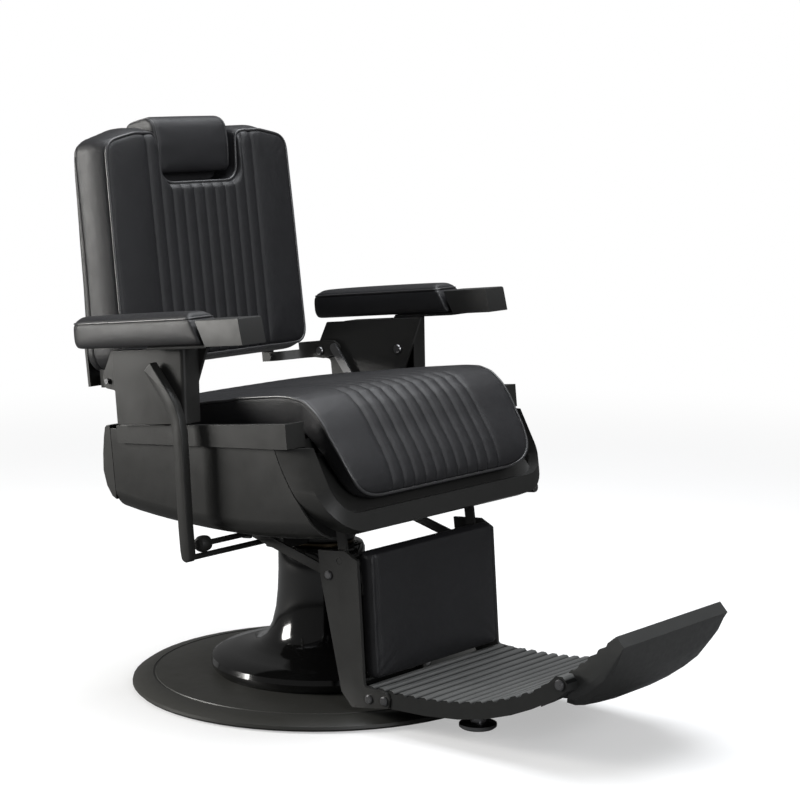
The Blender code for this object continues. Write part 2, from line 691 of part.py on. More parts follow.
def build_leg_link(mats, unit, tag, side, points):
    link = prism_x(bar(points["link_pin"], points["rocker_pin"], 8.5), *both_x(LINK_X, side))
    stub = rod_x(*points["rocker_pin"], 4, *both_x((172.5, 180), side))
    piece("leg_link_" + tag, mats["satin_paint"], unit, [link, stub],
          [rod_x(*points["link_pin"], 4.4, *both_x((170, 200), side))])


# ---------------------------------------------------------------- leg rest and flap

HEEL_ROD = (-279.0, 53.0)
TOE_ROD = (-313.0, 56.0)


def foot_top(y):
    """Height of the foot plate's upper surface, a dish that rises to the front."""
    t = max(0.0, (-y - 300.0) / (-FOOT_FRONT - 299.0))
    return 75.0 + 74.0 * t ** 2.8


def foot_upper_line():
    """Ribbed upper line, from the rear to the front."""
    points = []
    y = FOOT_REAR
    while y > FOOT_FRONT + FOOT_RIB_PITCH:
        for share, rise in ((0.0, 0.0), (0.28, 0.0), (0.45, 1.0), (0.83, 1.0)):
            here = y - share * FOOT_RIB_PITCH
            points.append((here, foot_top(here) - FOOT_RIB_HEIGHT * (1.0 - rise)))
        y -= FOOT_RIB_PITCH
    points.append((FOOT_FRONT, foot_top(FOOT_FRONT) - FOOT_RIB_HEIGHT))
    return points


def build_foot_plate(mats, unit):
    upper = foot_upper_line()
    lower = [(y, foot_top(y) - 31.0) for y in (-655, -620, -580, -530, -470, -400, -330, -262)]
    body = prism_x(upper + lower, -FOOT_HALF, FOOT_HALF)
    roof = [(y, foot_top(y) - 12.0) for y in (-269, -330, -400, -470, -530, -580, -620, -646)]
    pocket = prism_x(roof + [(-646, 60), (-560, 20), (-269, 20)], -FOOT_HALF + 8,
                     FOOT_HALF - 8)
    solids = [body]
    cuts = [pocket]
    for _, side in SIDES:
        arm = [(-640, 142), (-655, 150), (-668, 163), (-682, 164), (-691, 154), (-690, 141),
               (-668, 123), (-640, 107)]
        solids.append(prism_x(arm, *both_x((160, FOOT_HALF), side)))
        # The rear of the plate is narrower, to sit between the leg plates.
        cuts.append(box(*both_x((183.6, 200), side), -326, -250, 20, 120))
    for pin, radius in ((HEEL_ROD, 4.3), (TOE_ROD, 4.3), (FLAP_HINGE, 5.3)):
        cuts.append(rod_x(*pin, radius, -200, 200, 12))
    piece("foot_plate", mats["foot_plate"], unit, solids, cuts)


def build_leg_rest(mats, unit, points):
    boot = rounded([(-163, 298), (-225, 303, 4), (-252, 290, 4), (-267, 74, 5), (-314, 71, 5),
                    (-325, 62, 4), (-322, 44, 6), (-240, 32, 6), (-216, 56, 6), (-169, 250, 8)],
                   2)
    for tag, side in SIDES:
        span = both_x((180, 195), side)
        cuts = [rod_x(*LEG_PIVOT, 6.3, *span)]
        cuts += [rod_x(*p, 4.3, *span, 12) for p in (points["link_pin"], HEEL_ROD, TOE_ROD)]
        piece("leg_plate_" + tag, mats["satin_paint"], unit,
              [prism_x(boot, *both_x(LEG_PLATE_X, side))], cuts)
    wide = 183.6
    outline = [(-wide, 92), (wide, 92), (wide, 225), (165, 225), (165, 296), (-165, 296),
               (-165, 225), (-wide, 225)]
    board = loft([[(x, -253.6 + (z - 92) * 0.066 + t, z) for x, z in outline]
                  for t in (0.0, 5.5)])
    piece("calf_board", mats["satin_paint"], unit, [board])
    outline = rounded([(-172.5, 96, 14), (172.5, 96, 14), (172.5, 303, 14),
                       (-172.5, 303, 14)], 3)
    pad = loft([[(x * s, -254 + (z - 92) * 0.066 + t, 199.5 + (z - 199.5) * s)
                 for x, z in outline] for t, s in ((0, 1), (-20, 1), (-30, 0.96))])
    piece("calf_pad", mats["leather"], unit, [pad], sharp=50)
    for name, pin in (("link_pin_rod", points["link_pin"]), ("heel_rod", HEEL_ROD),
                      ("toe_rod", TOE_ROD)):
        head = [(0, -194), (6, -194), (8, -192.4), (8, -190.3), (4, -190.3)]
        profile = head + [(r, -x) for r, x in reversed(head)]
        piece(name, mats["chrome"], unit, [turned_x(profile, *pin)])
    for tag, side in SIDES:
        roof = foot_top(-468.0) - 13.8
        bumper = turned([(0, 27), (28, 27), (32, 30), (32, 35), (26, 37), (14, 38),
                         (14, roof), (0, roof)], 28)
        bmesh.ops.translate(bumper, vec=(130 * side, -468, 0), verts=bumper.verts)
        piece("foot_bumper_" + tag, mats["chrome"], unit, [bumper])


def flap_section(depth):
    """(y, z) ring of the flap at one x: ribbed inner face, tip edge and curved hull."""
    ring = [(-670, 163)]
    run = Vector((-760, 236)) - Vector((-670, 163))
    out = Vector((run.y, -run.x)).normalized() * 3.0
    for k in range(4):
        for share, rise in ((0.02, 0), (0.07, 1), (0.13, 1), (0.18, 0)):
            t = 0.04 + 0.2 * k + share
            base = Vector((-670, 163)) + run * t
            ring.append(tuple(base + (out * -rise)))
    ring.append((-760, 236))
    ring.append((-775, 220))
    hull = [(-755, 167), (-724, 125), (-690, 101), (-662, 92), (-645, 96)]
    spine = [(-764, 206), (-745, 187), (-718, 162), (-695, 140), (-680, 134)]
    for a, b in zip(hull, spine):
        ring.append(tuple(Vector(b).lerp(Vector(a), depth)))
    ring.append((-671, 131))
    return ring


def build_flap(mats, unit):
    stations = ((-153, 0.12), (-149, 0.45), (-135, 0.75), (-100, 0.93), (-50, 1.0), (50, 1.0),
                (100, 0.93), (135, 0.75), (149, 0.45), (153, 0.12))
    body = loft([[(x, y, z) for y, z in flap_section(depth)] for x, depth in stations])
    barrel = rod_x(*FLAP_HINGE, 12, -FLAP_HALF, FLAP_HALF, 20)
    piece("foot_flap", mats["foot_plate"], unit, [body, barrel],
          [rod_x(*FLAP_HINGE, 5.3, -170, 170)], sharp=30)
    head = [(0, -191.5), (7, -191.5), (9, -189.8), (9, -187.4), (5, -187.4)]
    profile = head + [(r, -x) for r, x in reversed(head)]
    piece("flap_hinge_rod", mats["chrome"], unit, [turned_x(profile, *FLAP_HINGE)])


# ---------------------------------------------------------------- assembly

def main():
    for obj in list(bpy.data.objects):
        bpy.data.objects.remove(obj)
    mats = {
        "satin_paint": material("satin_paint", (0.035, 0.035, 0.034), 0.38),
        "gloss_paint": material("gloss_paint", (0.01, 0.01, 0.01), 0.08),
        "shell": material("shell", (0.03, 0.03, 0.029), 0.4),
        "satin_plastic": material("satin_plastic", (0.03, 0.03, 0.03), 0.45),
        "leather": material("leather", (0.02, 0.02, 0.021), 0.42),
        "foot_plate": material("foot_plate", (0.06, 0.06, 0.06), 0.42, 0.3),
        "cast_metal": material("cast_metal", (0.05, 0.05, 0.05), 0.5, 0.4),
        "steel": material("steel", (0.3, 0.3, 0.31), 0.35, 1.0),
        "chrome": material("chrome", (0.75, 0.75, 0.76), 0.1, 1.0),
        "bronze": material("bronze", (0.5, 0.34, 0.16), 0.35, 1.0),
        "rubber": material("rubber", (0.02, 0.02, 0.02), 0.8),
        "plywood": material("plywood", (0.45, 0.3, 0.17), 0.7),
    }
    points = leg_rest_points()
    world = frame("base_origin")
    ram = frame("lift_axis")
    seat_world = frame("swivel_axis")
    seat = frame("seat_tilt_axis", SEAT_ORIGIN, SEAT_TILT, "local")
    back = frame("recline_axis", RECLINE_PIVOT, BACK_TILT, "local")
    head = frame("headrest_axis", RECLINE_PIVOT, BACK_TILT, "local")

    def pin_frame(name, point):
        return frame(name, (0.0, *point))

    build_base(mats, world)
    build_ram(mats, ram)
    build_hub(mats, seat_world)
    build_seat_frame(mats, seat, points)
    build_cushion(mats, seat)
    build_shells(mats, seat)
    build_arms(mats, seat)
    build_recline_cylinder(mats, seat_world, points)
    build_leg_pivot(mats, seat_world)
    build_lever(mats, pin_frame("lever_axis", LEVER_SHAFT))
    build_handle(mats, frame("handle_axis", (-207.5, *HANDLE_AXIS)))
    build_back(mats, back, points)
    build_headrest(mats, head)
    for tag, side in SIDES:
        build_drag_link(mats, pin_frame("drag_axis_" + tag, points["back_crank"]), tag, side,
                        points)
        build_leg_link(mats, pin_frame("link_axis_" + tag, points["link_pin"]), tag, side,
                       points)
    build_rocker(mats, pin_frame("rocker_axis", points["rocker_axis"]), points)
    build_gas_rod(mats, pin_frame("gas_axis", points["gas_pin"]), points)
    leg = pin_frame("leg_rest_axis", LEG_PIVOT)
    build_leg_rest(mats, leg, points)
    build_foot_plate(mats, leg)
    build_flap(mats, pin_frame("flap_axis", FLAP_HINGE))


main()
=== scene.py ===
"""The looks of a hydraulic barber chair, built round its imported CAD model.

Everything is in metres in the CAD's frame: +Z up, origin on the floor at the centre of the
base, the chair facing -Y and the pump lever on -X.  Numbers written in millimetres are scaled
by MM where they are used.  Upholstery is shaped in its unit's own frame: the seat unit's
(x, v, w), or the back unit's (x, n, u), which has n running from the front face to the rear.
"""
import json
from math import atan2, cos, pi, radians, sin

import bmesh
import bpy
import numpy as np
from mathutils import Matrix, Vector
from mathutils.bvhtree import BVHTree


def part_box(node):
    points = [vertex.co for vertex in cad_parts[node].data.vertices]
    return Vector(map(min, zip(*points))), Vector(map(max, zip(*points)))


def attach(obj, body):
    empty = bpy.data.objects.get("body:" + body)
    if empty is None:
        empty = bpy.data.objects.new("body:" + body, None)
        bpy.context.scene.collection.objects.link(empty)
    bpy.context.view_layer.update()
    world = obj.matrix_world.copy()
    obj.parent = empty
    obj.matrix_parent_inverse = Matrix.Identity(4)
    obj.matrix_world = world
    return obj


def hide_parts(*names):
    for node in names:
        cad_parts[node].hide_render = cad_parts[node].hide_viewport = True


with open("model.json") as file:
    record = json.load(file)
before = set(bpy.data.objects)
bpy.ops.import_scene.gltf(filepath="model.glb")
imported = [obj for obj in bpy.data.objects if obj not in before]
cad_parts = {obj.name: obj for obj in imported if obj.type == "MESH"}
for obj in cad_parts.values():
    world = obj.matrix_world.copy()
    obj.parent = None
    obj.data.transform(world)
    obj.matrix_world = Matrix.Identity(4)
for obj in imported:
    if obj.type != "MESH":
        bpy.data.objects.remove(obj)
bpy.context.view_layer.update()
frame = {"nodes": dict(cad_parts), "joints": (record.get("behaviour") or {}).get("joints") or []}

MM = 0.001
SIDES = (("R", -1.0), ("L", 1.0))      # the sitter's right is -X

SEAT_TILT = 6.1
SEAT_ORIGIN = (0.0, 0.0, 0.514)
BACK_TILT = 6.9
SEAT_CHANNEL = 29.2        # pitch of the sewn channels, in millimetres
BACK_CHANNEL = 27.6
CHANNELS = 10
PIPING_R = 2.7
CHANNEL_RISE = 3.2         # how far a channel's padding stands above its sewn lines
SEAM_STEP = 3.0            # spacing of the points that stand for a seam
SEAM_REACH = 4.0           # points this near to a seam are sewn down with it
# The arm blocks' faces below ARM_BASE_TOP get painted shade.
ARM_BASE_TOP = 140.0       # the arm blocks' flat bases lie below this, in the seat unit
GROOVE_MIDDLE = 0.14       # a groove's middle, as a share of the ribs' pitch
FOOT_GROOVES = (0.0236, -0.262)        # pitch of the foot plate's ribs, and the first one's y
SHARP = 31.0               # edges of CAD nodes that turn by more than this are corners
CLOTH_STEPS = 20
TINY = 1e-12


def joint(name):
    return next(j for j in frame["joints"] if j["name"] == name)


def unit_frame(origin, tilt):
    """Matrix from a tilted unit's own axes to the world."""
    return Matrix.Translation(origin) @ Matrix.Rotation(radians(-tilt), 4, "X")


SEAT = unit_frame(SEAT_ORIGIN, SEAT_TILT)
BACK = unit_frame(joint("recline")["pos_m"], BACK_TILT)


def extent(node, unit):
    """Lowest and highest corner of a CAD node in a unit's own frame, in millimetres."""
    turn = unit.inverted()
    points = np.array([turn @ v.co for v in frame["nodes"][node].data.vertices]) / MM
    return points.min(axis=0), points.max(axis=0)


# ---------------------------------------------------------------- materials

def node(tree, kind, **values):
    """New shader node; a value goes to the input of that name, or to the node's own setting."""
    made = tree.nodes.new("ShaderNode" + kind)
    for key, value in values.items():
        socket = key.replace("_", " ")
        if socket in made.inputs:
            made.inputs[socket].default_value = value
        else:
            setattr(made, key, value)
    return made


def ranged(tree, value, low, high, at_low=0.0, at_high=1.0, kind="LINEAR"):
    """Value mapped from low..high to at_low..at_high, and held at the ends."""
    made = node(tree, "MapRange", interpolation_type=kind)
    for name, number in (("From Min", low), ("From Max", high), ("To Min", at_low),
                         ("To Max", at_high)):
        made.inputs[name].default_value = number
    tree.links.new(value, made.inputs["Value"])
    return made.outputs["Result"]


def painted_groove_shade(tree, pitch, start):
    """Factor on a colour that paints light and shade: painted shade in the grooves between ribs,
    a painted highlight on the ribs' tops, and painted half shade on the plate's sides."""
    link = tree.links.new
    place = node(tree, "TexCoord")
    along = node(tree, "SeparateXYZ")
    link(place.outputs["Object"], along.inputs[0])
    count = node(tree, "Math", operation="MULTIPLY_ADD")
    count.inputs[1].default_value = -1.0 / pitch
    count.inputs[2].default_value = start / pitch - GROOVE_MIDDLE
    link(along.outputs["Y"], count.inputs[0])
    away = node(tree, "Math", operation="PINGPONG")
    away.inputs[1].default_value = 0.5
    link(count.outputs[0], away.inputs[0])
    # painted light and shade across the ribs: a tenth of the colour in the grooves, up to 2.3
    # times it on the rib tops
    lit = ranged(tree, away.outputs[0], 0.12, 0.27, 0.1, 2.3)
    facing = node(tree, "SeparateXYZ")
    link(place.outputs["Normal"], facing.inputs[0])
    upward = ranged(tree, facing.outputs["Z"], 0.2, 0.5)
    # painted half shade on the plate's sides, the painted rib light and shade on its top
    both = node(tree, "Mix", data_type="FLOAT")
    both.inputs["A"].default_value = 0.5
    link(upward, both.inputs["Factor"])
    link(lit, both.inputs["B"])
    return both.outputs["Result"]


def finish_material(name, dark, light, rough, metallic=0.0, patches=14.0, grain=600.0,
                    grain_depth=0.00006, pits=0.0, pit_depth=0.00025, coat=0.0,
                    specular=0.5, sheen=0.0, brushed=None, grooves=None):
    """Surface whose colour and roughness drift slowly, with a fine bump on top.

    rough is (least, most) roughness.  pits is the cell scale of a leather or casting grain.
    brushed stretches the grain along one axis, as machining or brushing does.  The last argument
    is (pitch, start) of ribs across Y, for painted shade in their grooves, a painted highlight
    on their tops and painted half shade on the plate's sides."""
    mat = bpy.data.materials.new(name)
    mat.use_nodes = True
    tree = mat.node_tree
    shader = tree.nodes["Principled BSDF"]
    shader.inputs["Metallic"].default_value = metallic
    shader.inputs["Specular IOR Level"].default_value = specular
    shader.inputs["Coat Weight"].default_value = coat
    shader.inputs["Coat Roughness"].default_value = 0.06
    shader.inputs["Sheen Weight"].default_value = sheen
    shader.inputs["Sheen Roughness"].default_value = 0.5
    link = tree.links.new
    place = node(tree, "TexCoord").outputs["Object"]

    drift = node(tree, "TexNoise", Scale=patches, Detail=5.0, Roughness=0.6)
    link(place, drift.inputs["Vector"])
    tint = node(tree, "Mix", data_type="RGBA")
    tint.inputs["A"].default_value = (*dark, 1.0)
    tint.inputs["B"].default_value = (*light, 1.0)
    link(drift.outputs["Fac"], tint.inputs["Factor"])
    colour = tint.outputs["Result"]
    if grooves:
        # painted shade in the grooves and on the sides, painted highlight on the rib tops; the
        # same factor also scales the specular level
        shade = painted_groove_shade(tree, *grooves)
        shaded = node(tree, "VectorMath", operation="SCALE")
        link(colour, shaded.inputs[0])
        link(shade, shaded.inputs["Scale"])
        colour = shaded.outputs["Vector"]
        shine = node(tree, "Math", operation="MULTIPLY")
        shine.inputs[1].default_value = specular
        link(shade, shine.inputs[0])
        link(shine.outputs[0], shader.inputs["Specular IOR Level"])
    link(colour, shader.inputs["Base Color"])

    marks = node(tree, "TexNoise", Scale=patches * 6.0, Detail=6.0, Roughness=0.65)
    link(place, marks.inputs["Vector"])
    link(ranged(tree, marks.outputs["Fac"], 0.3, 0.7, *rough), shader.inputs["Roughness"])

    fine_place = place
    if brushed:
        stretch = node(tree, "Mapping")
        stretch.inputs["Scale"].default_value = brushed
        link(place, stretch.inputs["Vector"])
        fine_place = stretch.outputs["Vector"]
    fine = node(tree, "TexNoise", Scale=grain, Detail=3.0)
    link(fine_place, fine.inputs["Vector"])
    bump = node(tree, "Bump", Strength=0.6, Distance=grain_depth)
    link(fine.outputs["Fac"], bump.inputs["Height"])
    if pits:
        cells = node(tree, "TexVoronoi", feature="DISTANCE_TO_EDGE", Scale=pits)
        link(place, cells.inputs["Vector"])
        creases = node(tree, "Bump", Strength=0.5, Distance=pit_depth)
        link(ranged(tree, cells.outputs["Distance"], 0.0, 0.22, kind="SMOOTHSTEP"),
             creases.inputs["Height"])
        link(bump.outputs["Normal"], creases.inputs["Normal"])
        bump = creases
    link(bump.outputs["Normal"], shader.inputs["Normal"])
    return mat


def make_materials():
    return {
        "leather": finish_material(
            "leather", (0.010, 0.010, 0.011), (0.017, 0.017, 0.019), (0.40, 0.52), patches=9.0,
            grain=260.0, grain_depth=0.00015, pits=620.0, pit_depth=0.00022, specular=0.45),
        # The piping's leather is coloured lighter than the covers' leather: partly a painted
        # highlight along the round of each seam.
        "piping": finish_material(
            "piping", (0.030, 0.030, 0.031), (0.042, 0.042, 0.044), (0.26, 0.34), patches=20.0,
            grain=500.0, pits=800.0, pit_depth=0.00012, specular=0.8),
        "thread": finish_material(
            "thread", (0.004, 0.004, 0.004), (0.007, 0.007, 0.007), (0.6, 0.7), patches=60.0,
            grain=1500.0, specular=0.1),
        "satin_paint": finish_material(
            "satin_paint", (0.018, 0.018, 0.017), (0.025, 0.025, 0.024), (0.32, 0.40),
            patches=5.0, grain=900.0, grain_depth=0.00005),
        "shell": finish_material(
            "shell", (0.011, 0.011, 0.0105), (0.016, 0.016, 0.015), (0.33, 0.40), patches=4.0,
            grain=700.0, grain_depth=0.00006),
        "gloss_paint": finish_material(
            "gloss_paint", (0.004, 0.004, 0.004), (0.006, 0.006, 0.006), (0.10, 0.14),
            patches=6.0, grain=60.0, grain_depth=0.00004, coat=0.6),
        "base_paint": finish_material(
            "base_paint", (0.034, 0.034, 0.031), (0.046, 0.046, 0.042), (0.36, 0.45),
            patches=5.0, grain=500.0, grain_depth=0.00006),
        "satin_plastic": finish_material(
            "satin_plastic", (0.011, 0.011, 0.0105), (0.015, 0.015, 0.014), (0.50, 0.57),
            patches=8.0, grain=1100.0, grain_depth=0.00004),
        "foot_alloy": finish_material(
            "foot_alloy", (0.040, 0.041, 0.040), (0.055, 0.056, 0.055), (0.34, 0.46),
            metallic=0.2, patches=16.0, grain=900.0, grain_depth=0.00006),
        # The foot plate's alloy, with painted shade in its grooves and on its sides and a
        # painted highlight on its rib tops.
        "ribbed_alloy_painted_shade": finish_material(
            "ribbed_alloy_painted_shade", (0.036, 0.037, 0.036), (0.050, 0.051, 0.050), (0.30, 0.40),
            patches=16.0, grain=900.0, grain_depth=0.00006, grooves=FOOT_GROOVES),
        "cast_metal": finish_material(
            "cast_metal", (0.022, 0.022, 0.022), (0.035, 0.035, 0.034), (0.45, 0.6),
            metallic=0.3, patches=25.0, grain=350.0, grain_depth=0.0002),
        "steel": finish_material(
            "steel", (0.16, 0.16, 0.165), (0.24, 0.24, 0.245), (0.28, 0.42), metallic=1.0,
            patches=30.0, grain=900.0, grain_depth=0.00003, brushed=(0.05, 1.0, 1.0)),
        "chrome": finish_material(
            "chrome", (0.62, 0.62, 0.63), (0.72, 0.72, 0.73), (0.08, 0.16), metallic=1.0,
            patches=40.0, grain=400.0, grain_depth=0.00001),
        "zinc": finish_material(
            "zinc", (0.16, 0.16, 0.165), (0.24, 0.24, 0.245), (0.26, 0.36), metallic=1.0,
            patches=60.0, grain=700.0, grain_depth=0.00003),
        "bronze": finish_material(
            "bronze", (0.05, 0.038, 0.024), (0.08, 0.06, 0.038), (0.35, 0.5), metallic=1.0,
            patches=60.0, grain=800.0),
        "rubber": finish_material(
            "rubber", (0.010, 0.010, 0.010), (0.016, 0.016, 0.016), (0.7, 0.85), patches=30.0,
            grain=900.0, grain_depth=0.0001, specular=0.3),
        "plywood": finish_material(
            "plywood", (0.022, 0.018, 0.014), (0.038, 0.031, 0.024), (0.6, 0.75), patches=6.0,
            grain=120.0, grain_depth=0.0002, brushed=(1.0, 12.0, 12.0)),
        # A dull dark material that paints the shade on the arm blocks' flat bases.
        "arm_base_painted_shade": finish_material(
            "arm_base_painted_shade", (0.008, 0.008, 0.008), (0.014, 0.014, 0.014), (0.8, 0.9),
            patches=12.0, grain=1400.0, grain_depth=0.0002, specular=0.2, sheen=0.15),
    }


def dress_cad(mats):
    """Gives every carried-over CAD node its finish, and its edges the radius they have."""
    groups = (             # material, edge radius in mm, nodes
        ("base_paint", 0.0, ("base_plate",)),
        ("rubber", 0.0, ("base_foot_ring",)),
        ("gloss_paint", 0.0, ("pump_column",)),
        ("cast_metal", 1.0, ("pump_cylinder", "swivel_hub", "pump_head")),
        ("bronze", 0.0, ("column_bush",)),
        ("chrome", 0.0, ("lift_ram", "recline_rod")),
        ("zinc", 0.0, ("recline_bolt_R", "recline_bolt_L", "arm_bolt_R", "arm_bolt_L",
                       "link_pin_rod", "heel_rod", "toe_rod", "flap_hinge_rod",
                       "foot_bumper_R", "foot_bumper_L")),
        ("steel", 0.5, ("recline_rocker", "drag_link_R", "drag_link_L",
                        "headrest_post")),
        ("satin_paint", 1.0, ("seat_frame", "recline_cylinder", "headrest_guide",
                              "calf_board", "back_bracket_R", "back_bracket_L",
                              "leg_link_R", "leg_link_L", "leg_rest_pivot_rod")),
        ("satin_paint", 0.8, ("side_rail_R", "side_rail_L", "arm_plate_R", "arm_plate_L",
                              "arm_cover_R", "arm_cover_L", "leg_plate_R", "leg_plate_L",
                              "front_bezel")),
        ("satin_paint", 1.2, ("pump_lever",)),
        ("shell", 0.6, ("side_shell_R", "side_shell_L")),
        ("shell", 2.0, ("rear_shell",)),
        ("satin_plastic", 1.2, ("arm_block_R", "arm_block_L")),
        ("satin_plastic", 0.6, ("recline_handle",)),
        ("ribbed_alloy_painted_shade", 0.7, ("foot_plate",)),
        ("foot_alloy", 1.1, ("foot_flap",)),
        ("plywood", 0.4, ("seat_board", "back_board")),
    )
    for mat, softened, names in groups:
        for name in names:
            obj = frame["nodes"][name]
            obj.data.materials.clear()
            obj.data.materials.append(mats[mat])
            obj.data.shade_smooth()
            if "custom_normal" in obj.data.attributes:
                obj.data.attributes.remove(obj.data.attributes["custom_normal"])
            weld = obj.modifiers.new("weld", "WELD")
            weld.merge_threshold = 0.00001
            if softened:
                edge = obj.modifiers.new("edges", "BEVEL")
                edge.width = softened * MM
                edge.segments = 2
                edge.limit_method = "ANGLE"
                edge.angle_limit = radians(SHARP)
                edge.harden_normals = True
            else:
                split = obj.modifiers.new("corners", "EDGE_SPLIT")
                split.split_angle = radians(SHARP)


def paint_arm_base_shade(mats):
    """Paints shade on the arm blocks' flat bases, which lie in the shade of the arms: a dull
    dark material stands for it.
    """
    for tag, _ in SIDES:
        obj = frame["nodes"]["arm_block_" + tag]
        obj.data.materials.append(mats["arm_base_painted_shade"])
        turn = SEAT.inverted()
        for polygon in obj.data.polygons:
            # faces of the flat base take the painted shade material
            if (turn @ polygon.center).z < ARM_BASE_TOP * MM:
                polygon.material_index = 1


# ---------------------------------------------------------------- plane geometry, in mm

def rounded(corners, steps):
    """Outline with filleted corners from (a, b, radius), or sharp ones from (a, b)."""
    out = []
    for i, corner in enumerate(corners):
        here = Vector(corner[:2])
        if len(corner) == 2:
            out.append(tuple(here))
            continue
        radius = corner[2]
        back = (Vector(corners[i - 1][:2]) - here).normalized()
        on = (Vector(corners[(i + 1) % len(corners)][:2]) - here).normalized()
        half = back.angle(on) / 2.0
        centre = here + (back + on).normalized() * (radius / sin(half))
        start = here + back * (radius * cos(half) / sin(half)) - centre
        end = here + on * (radius * cos(half) / sin(half)) - centre
        first = atan2(start.y, start.x)
        sweep = (atan2(end.y, end.x) - first + pi) % (2.0 * pi) - pi
        for k in range(steps + 1):
            angle = first + sweep * k / steps
            out.append((centre.x + radius * cos(angle), centre.y + radius * sin(angle)))
    return out


def resample(path, step, closed=False):
    """Evenly spaced points along a path, as Vectors."""
    points = [Vector(p) for p in path]
    if closed:
        points.append(points[0])
    lengths = [0.0]
    for a, b in zip(points, points[1:]):
        lengths.append(lengths[-1] + (b - a).length)
    count = max(2, round(lengths[-1] / step))
    out = []
    k = 0
    for i in range(count if closed else count + 1):
        want = lengths[-1] * i / count
        while k < len(lengths) - 2 and lengths[k + 1] < want:
            k += 1
        span = lengths[k + 1] - lengths[k] or 1.0
        out.append(points[k].lerp(points[k + 1], (want - lengths[k]) / span))
    return out


# ---------------------------------------------------------------- objects

def new_object(name, data):
    """Object linked to the scene."""
    obj = bpy.data.objects.new(name, data)
    bpy.context.collection.objects.link(obj)
    return obj


def loft(rings):
    """Closed bmesh skinned over rings of equal point counts."""
    bm = bmesh.new()
    rows = [[bm.verts.new(p) for p in ring] for ring in rings]
    count = len(rows[0])
    for low, high in zip(rows, rows[1:]):
        for k in range(count):
            m = (k + 1) % count
            bm.faces.new((low[k], low[m], high[m], high[k]))
    bm.faces.new(rows[0])
    bm.faces.new(rows[-1][::-1])
    bmesh.ops.recalc_face_normals(bm, faces=bm.faces)
    return bm


def to_mesh(name, bm, scale=MM):
    """Mesh from a bmesh, scaled from millimetres unless told otherwise."""
    bmesh.ops.scale(bm, vec=(scale,) * 3, verts=bm.verts)
    mesh = bpy.data.meshes.new(name)
    bm.to_mesh(mesh)
    bm.free()
    return mesh


def evaluated_copy(obj):
    """Mesh as the modifiers leave it."""
    graph = bpy.context.evaluated_depsgraph_get()
    return bpy.data.meshes.new_from_object(obj.evaluated_get(graph))


def apply_modifiers(obj):
    made = evaluated_copy(obj)
    obj.modifiers.clear()
    obj.data = made


def coordinates(mesh):
    co = np.zeros(len(mesh.vertices) * 3)
    mesh.vertices.foreach_get("co", co)
    return co.reshape(-1, 3)


def vertex_normals(mesh):
    no = np.zeros(len(mesh.vertices) * 3)
    mesh.vertices.foreach_get("normal", no)
    return no.reshape(-1, 3)


def set_coordinates(mesh, co):
    mesh.vertices.foreach_set("co", co.ravel())
    mesh.update()


def inflate(obj, held, cap):
    """Cloth under a little pressure, with the held vertices sewn down, and no point moved by
    more than cap."""
    rest = coordinates(obj.data)
    group = obj.vertex_groups.new(name="sewn")
    group.add([int(i) for i in np.flatnonzero(held(rest / MM))], 1.0, "REPLACE")
    cloth = obj.modifiers.new("puff", "CLOTH")
    settings = cloth.settings
    settings.quality = 4
    settings.mass = 0.35
    settings.tension_stiffness = 20.0
    settings.compression_stiffness = 20.0
    settings.shear_stiffness = 8.0
    settings.bending_stiffness = 1.5
    settings.use_pressure = True
    settings.uniform_pressure_force = 4.0
    settings.effector_weights.gravity = 0.0
    settings.vertex_group_mass = group.name
    settings.pin_stiffness = 1.0
    cloth.collision_settings.use_collision = False
    scene = bpy.context.scene
    for step in range(1, CLOTH_STEPS + 1):
        scene.frame_set(step)
    moved = coordinates(evaluated_copy(obj)) - rest
    scene.frame_set(1)
    obj.modifiers.clear()
    obj.vertex_groups.clear()
    size = np.linalg.norm(moved, axis=1, keepdims=True)
    limit = cap * MM
    share = limit * np.tanh(size / limit) / np.maximum(size, TINY)
    moved *= np.where(size > TINY, share, 0.0)
    set_coordinates(obj.data, rest + moved)


def upholstered(name, mesh, unit, mats, voxel, held, cap, carve):
    """A padded piece: remeshed, puffed up, subdivided, then its seams pressed in.

    held(points) says which points are sewn down, and carve(points, normals) how far each one
    moves along its normal afterwards; both take points in the unit's own mm."""
    obj = new_object(name, mesh)
    remesh = obj.modifiers.new("remesh", "REMESH")
    remesh.mode = "VOXEL"
    remesh.voxel_size = voxel * MM
    apply_modifiers(obj)
    soften = obj.modifiers.new("soften", "SMOOTH")
    soften.factor = 0.5
    soften.iterations = 3
    apply_modifiers(obj)
    inflate(obj, held, cap)
    finer = obj.modifiers.new("finer", "SUBSURF")
    finer.levels = 1
    finer.render_levels = 1
    apply_modifiers(obj)
    co = coordinates(obj.data)
    normals = vertex_normals(obj.data)
    depth = carve(co / MM, normals)
    set_coordinates(obj.data, co + normals * (depth[:, None] * MM))
    obj.data.transform(unit)
    obj.data.materials.clear()
    obj.data.materials.append(mats["leather"])
    obj.data.shade_smooth()
    return obj


def surface_tree(obj):
    """Search tree of a cover's surface."""
    bm = bmesh.new()
    bm.from_mesh(obj.data)
    tree = BVHTree.FromBMesh(bm)
    bm.free()
    return tree


def on_surface(tree, points, lift):
    """Points moved to the nearest place on a surface, then outwards by lift."""
    out = []
    for p in points:
        spot, normal, _, _ = tree.find_nearest(p)
        out.append(spot + normal * lift)
    return out


def smoothed(points):
    """A closed loop of points, smoothed three times."""
    for _ in range(3):
        count = len(points)
        points = [(points[i - 1] + points[i] * 2.0 + points[(i + 1) % count]) / 4.0
                  for i in range(count)]
    return points


